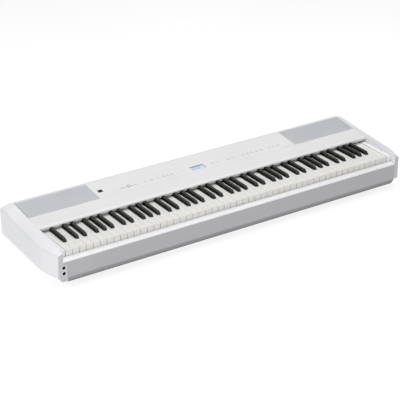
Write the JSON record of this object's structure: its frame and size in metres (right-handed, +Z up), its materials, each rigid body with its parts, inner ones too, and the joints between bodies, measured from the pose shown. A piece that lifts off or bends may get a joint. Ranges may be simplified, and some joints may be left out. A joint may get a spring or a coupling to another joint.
{
  "type": "portable digital piano",
  "caption": "Slab digital piano: white case with thick end cheeks, hinged piano keys, two loudspeaker grilles, display, buttons, volume slider and jacks.",
  "frame": {"origin": "middle of the case in plan, on the floor under the rubber feet", "axes": "+X along the keyboard from low notes to high, +Y from the player to the rear, +Z up"},
  "size_m": [1.336, 0.358, 0.1396],
  "materials": {
    "white_plastic": "satin",
    "panel_white": "fine matt",
    "front_white": "satin",
    "grille_silver": "fine woven",
    "key_white": "satin",
    "key_black": "matt",
    "rubber": "matt",
    "steel": "plain",
    "felt": "felt",
    "display": "clear",
    "socket_black": "matt",
    "button_white": "matt",
    "cone_black": "paper cone",
    "board_green": "circuit board"
  },
  "bodies": {
    "case": {"top_panel": "panel_white", "front_panel": "front_white", "bottom_case": "front_white", "rear_panel": "white_plastic", "left_cheek": "white_plastic", "right_cheek": "white_plastic", "left_key_block": "white_plastic", "right_key_block": "white_plastic", "left_grille": "grille_silver", "right_grille": "grille_silver", "left_woofer": "cone_black", "right_woofer": "cone_black", "key_frame": "steel", "key_felt": "felt", "main_board": "board_green", "front_left_foot": "rubber", "front_right_foot": "rubber", "rear_left_foot": "rubber", "rear_right_foot": "rubber", "display_window": "display", "usb_socket": "socket_black", "headphone_jacks": "white_plastic", "rear_terminals": "socket_black"},
    "key_c4": {"key_c4": "key_white"},
    "key_c_sharp4": {"key_c_sharp4": "key_black"},
    "key_d4": {"key_d4": "key_white"},
    "key_d_sharp4": {"key_d_sharp4": "key_black"},
    "key_e4": {"key_e4": "key_white"},
    "key_f4": {"key_f4": "key_white"},
    "key_f_sharp4": {"key_f_sharp4": "key_black"},
    "key_g4": {"key_g4": "key_white"},
    "key_g_sharp4": {"key_g_sharp4": "key_black"},
    "key_a4": {"key_a4": "key_white"},
    "key_a_sharp4": {"key_a_sharp4": "key_black"},
    "key_b4": {"key_b4": "key_white"},
    "key_c5": {"key_c5": "key_white"},
    "key_c_sharp5": {"key_c_sharp5": "key_black"},
    "key_d5": {"key_d5": "key_white"},
    "key_d_sharp5": {"key_d_sharp5": "key_black"},
    "key_e5": {"key_e5": "key_white"},
    "key_f5": {"key_f5": "key_white"},
    "key_f_sharp5": {"key_f_sharp5": "key_black"},
    "key_g5": {"key_g5": "key_white"},
    "key_g_sharp5": {"key_g_sharp5": "key_black"},
    "key_a5": {"key_a5": "key_white"},
    "key_a_sharp5": {"key_a_sharp5": "key_black"},
    "key_b5": {"key_b5": "key_white"},
    "bass_white_keys": {"bass_white_keys": "key_white"},
    "bass_black_keys": {"bass_black_keys": "key_black"},
    "tenor_white_keys": {"tenor_white_keys": "key_white"},
    "tenor_black_keys": {"tenor_black_keys": "key_black"},
    "treble_white_keys": {"treble_white_keys": "key_white"},
    "treble_black_keys": {"treble_black_keys": "key_black"},
    "rhythm_buttons": {"rhythm_buttons": "button_white"},
    "song_buttons": {"song_buttons": "button_white"},
    "menu_buttons": {"menu_buttons": "button_white"},
    "voice_buttons": {"voice_buttons": "button_white"},
    "setup_buttons": {"setup_buttons": "button_white"},
    "power_button": {"power_button": "button_white"},
    "volume_slider": {"volume_slider": "button_white"}
  },
  "joints": [
    {"name": "key_c4_pivot", "type": "hinge", "parent": "case", "child": "key_c4", "pos_m": [0, 0.06142, 0.09418], "axis": [1, 0, 0], "range_deg": [0, 2.6], "stiffness_Nm_per_rad": 1, "springref_deg": -20.05},
    {"name": "key_c_sharp4_pivot", "type": "hinge", "parent": "case", "child": "key_c_sharp4", "pos_m": [0, 0.06142, 0.09418], "axis": [1, 0, 0], "range_deg": [0, 2.6], "stiffness_Nm_per_rad": 0.7, "springref_deg": -20.05},
    {"name": "key_d4_pivot", "type": "hinge", "parent": "case", "child": "key_d4", "pos_m": [0, 0.06142, 0.09418], "axis": [1, 0, 0], "range_deg": [0, 2.6], "stiffness_Nm_per_rad": 1, "springref_deg": -20.05},
    {"name": "key_d_sharp4_pivot", "type": "hinge", "parent": "case", "child": "key_d_sharp4", "pos_m": [0, 0.06142, 0.09418], "axis": [1, 0, 0], "range_deg": [0, 2.6], "stiffness_Nm_per_rad": 0.7, "springref_deg": -20.05},
    {"name": "key_e4_pivot", "type": "hinge", "parent": "case", "child": "key_e4", "pos_m": [0, 0.06142, 0.09418], "axis": [1, 0, 0], "range_deg": [0, 2.6], "stiffness_Nm_per_rad": 1, "springref_deg": -20.05},
    {"name": "key_f4_pivot", "type": "hinge", "parent": "case", "child": "key_f4", "pos_m": [0, 0.06142, 0.09418], "axis": [1, 0, 0], "range_deg": [0, 2.6], "stiffness_Nm_per_rad": 1, "springref_deg": -20.05},
    {"name": "key_f_sharp4_pivot", "type": "hinge", "parent": "case", "child": "key_f_sharp4", "pos_m": [0, 0.06142, 0.09418], "axis": [1, 0, 0], "range_deg": [0, 2.6], "stiffness_Nm_per_rad": 0.7, "springref_deg": -20.05},
    {"name": "key_g4_pivot", "type": "hinge", "parent": "case", "child": "key_g4", "pos_m": [0, 0.06142, 0.09418], "axis": [1, 0, 0], "range_deg": [0, 2.6], "stiffness_Nm_per_rad": 1, "springref_deg": -20.05},
    {"name": "key_g_sharp4_pivot", "type": "hinge", "parent": "case", "child": "key_g_sharp4", "pos_m": [0, 0.06142, 0.09418], "axis": [1, 0, 0], "range_deg": [0, 2.6], "stiffness_Nm_per_rad": 0.7, "springref_deg": -20.05},
    {"name": "key_a4_pivot", "type": "hinge", "parent": "case", "child": "key_a4", "pos_m": [0, 0.06142, 0.09418], "axis": [1, 0, 0], "range_deg": [0, 2.6], "stiffness_Nm_per_rad": 1, "springref_deg": -20.05},
    {"name": "key_a_sharp4_pivot", "type": "hinge", "parent": "case", "child": "key_a_sharp4", "pos_m": [0, 0.06142, 0.09418], "axis": [1, 0, 0], "range_deg": [0, 2.6], "stiffness_Nm_per_rad": 0.7, "springref_deg": -20.05},
    {"name": "key_b4_pivot", "type": "hinge", "parent": "case", "child": "key_b4", "pos_m": [0, 0.06142, 0.09418], "axis": [1, 0, 0], "range_deg": [0, 2.6], "stiffness_Nm_per_rad": 1, "springref_deg": -20.05},
    {"name": "key_c5_pivot", "type": "hinge", "parent": "case", "child": "key_c5", "pos_m": [0, 0.06142, 0.09418], "axis": [1, 0, 0], "range_deg": [0, 2.6], "stiffness_Nm_per_rad": 1, "springref_deg": -20.05},
    {"name": "key_c_sharp5_pivot", "type": "hinge", "parent": "case", "child": "key_c_sharp5", "pos_m": [0, 0.06142, 0.09418], "axis": [1, 0, 0], "range_deg": [0, 2.6], "stiffness_Nm_per_rad": 0.7, "springref_deg": -20.05},
    {"name": "key_d5_pivot", "type": "hinge", "parent": "case", "child": "key_d5", "pos_m": [0, 0.06142, 0.09418], "axis": [1, 0, 0], "range_deg": [0, 2.6], "stiffness_Nm_per_rad": 1, "springref_deg": -20.05},
    {"name": "key_d_sharp5_pivot", "type": "hinge", "parent": "case", "child": "key_d_sharp5", "pos_m": [0, 0.06142, 0.09418], "axis": [1, 0, 0], "range_deg": [0, 2.6], "stiffness_Nm_per_rad": 0.7, "springref_deg": -20.05},
    {"name": "key_e5_pivot", "type": "hinge", "parent": "case", "child": "key_e5", "pos_m": [0, 0.06142, 0.09418], "axis": [1, 0, 0], "range_deg": [0, 2.6], "stiffness_Nm_per_rad": 1, "springref_deg": -20.05},
    {"name": "key_f5_pivot", "type": "hinge", "parent": "case", "child": "key_f5", "pos_m": [0, 0.06142, 0.09418], "axis": [1, 0, 0], "range_deg": [0, 2.6], "stiffness_Nm_per_rad": 1, "springref_deg": -20.05},
    {"name": "key_f_sharp5_pivot", "type": "hinge", "parent": "case", "child": "key_f_sharp5", "pos_m": [0, 0.06142, 0.09418], "axis": [1, 0, 0], "range_deg": [0, 2.6], "stiffness_Nm_per_rad": 0.7, "springref_deg": -20.05},
    {"name": "key_g5_pivot", "type": "hinge", "parent": "case", "child": "key_g5", "pos_m": [0, 0.06142, 0.09418], "axis": [1, 0, 0], "range_deg": [0, 2.6], "stiffness_Nm_per_rad": 1, "springref_deg": -20.05},
    {"name": "key_g_sharp5_pivot", "type": "hinge", "parent": "case", "child": "key_g_sharp5", "pos_m": [0, 0.06142, 0.09418], "axis": [1, 0, 0], "range_deg": [0, 2.6], "stiffness_Nm_per_rad": 0.7, "springref_deg": -20.05},
    {"name": "key_a5_pivot", "type": "hinge", "parent": "case", "child": "key_a5", "pos_m": [0, 0.06142, 0.09418], "axis": [1, 0, 0], "range_deg": [0, 2.6], "stiffness_Nm_per_rad": 1, "springref_deg": -20.05},
    {"name": "key_a_sharp5_pivot", "type": "hinge", "parent": "case", "child": "key_a_sharp5", "pos_m": [0, 0.06142, 0.09418], "axis": [1, 0, 0], "range_deg": [0, 2.6], "stiffness_Nm_per_rad": 0.7, "springref_deg": -20.05},
    {"name": "key_b5_pivot", "type": "hinge", "parent": "case", "child": "key_b5", "pos_m": [0, 0.06142, 0.09418], "axis": [1, 0, 0], "range_deg": [0, 2.6], "stiffness_Nm_per_rad": 1, "springref_deg": -20.05},
    {"name": "bass_white_keys_pivot", "type": "hinge", "parent": "case", "child": "bass_white_keys", "pos_m": [0, 0.06142, 0.09418], "axis": [1, 0, 0], "range_deg": [0, 2.6], "stiffness_Nm_per_rad": 9, "springref_deg": -20.05},
    {"name": "bass_black_keys_pivot", "type": "hinge", "parent": "case", "child": "bass_black_keys", "pos_m": [0, 0.06142, 0.09418], "axis": [1, 0, 0], "range_deg": [0, 2.6], "stiffness_Nm_per_rad": 4.2, "springref_deg": -20.05},
    {"name": "tenor_white_keys_pivot", "type": "hinge", "parent": "case", "child": "tenor_white_keys", "pos_m": [0, 0.06142, 0.09418], "axis": [1, 0, 0], "range_deg": [0, 2.6], "stiffness_Nm_per_rad": 14, "springref_deg": -20.05},
    {"name": "tenor_black_keys_pivot", "type": "hinge", "parent": "case", "child": "tenor_black_keys", "pos_m": [0, 0.06142, 0.09418], "axis": [1, 0, 0], "range_deg": [0, 2.6], "stiffness_Nm_per_rad": 7, "springref_deg": -20.05},
    {"name": "treble_white_keys_pivot", "type": "hinge", "parent": "case", "child": "treble_white_keys", "pos_m": [0, 0.06142, 0.09418], "axis": [1, 0, 0], "range_deg": [0, 2.6], "stiffness_Nm_per_rad": 15, "springref_deg": -20.05},
    {"name": "treble_black_keys_pivot", "type": "hinge", "parent": "case", "child": "treble_black_keys", "pos_m": [0, 0.06142, 0.09418], "axis": [1, 0, 0], "range_deg": [0, 2.6], "stiffness_Nm_per_rad": 7, "springref_deg": -20.05},
    {"name": "rhythm_buttons_press", "type": "slide", "parent": "case", "child": "rhythm_buttons", "axis": [0, 0.0714, -0.9974], "range_m": [0, 0.0012], "stiffness_N_per_m": 400, "springref_m": -0.003},
    {"name": "song_buttons_press", "type": "slide", "parent": "case", "child": "song_buttons", "axis": [0, 0.0714, -0.9974], "range_m": [0, 0.0012], "stiffness_N_per_m": 400, "springref_m": -0.003},
    {"name": "menu_buttons_press", "type": "slide", "parent": "case", "child": "menu_buttons", "axis": [0, 0.0714, -0.9974], "range_m": [0, 0.0012], "stiffness_N_per_m": 400, "springref_m": -0.003},
    {"name": "voice_buttons_press", "type": "slide", "parent": "case", "child": "voice_buttons", "axis": [0, 0.0714, -0.9974], "range_m": [0, 0.0012], "stiffness_N_per_m": 400, "springref_m": -0.003},
    {"name": "setup_buttons_press", "type": "slide", "parent": "case", "child": "setup_buttons", "axis": [0, 0.0714, -0.9974], "range_m": [0, 0.0012], "stiffness_N_per_m": 400, "springref_m": -0.003},
    {"name": "power_button_press", "type": "slide", "parent": "case", "child": "power_button", "axis": [0, -1, 0], "range_m": [0, 0.003], "stiffness_N_per_m": 300, "springref_m": -0.004},
    {"name": "volume_slide", "type": "slide", "parent": "case", "child": "volume_slider", "axis": [1, 0, 0], "range_m": [-0.026, 0.026]}
  ]
}
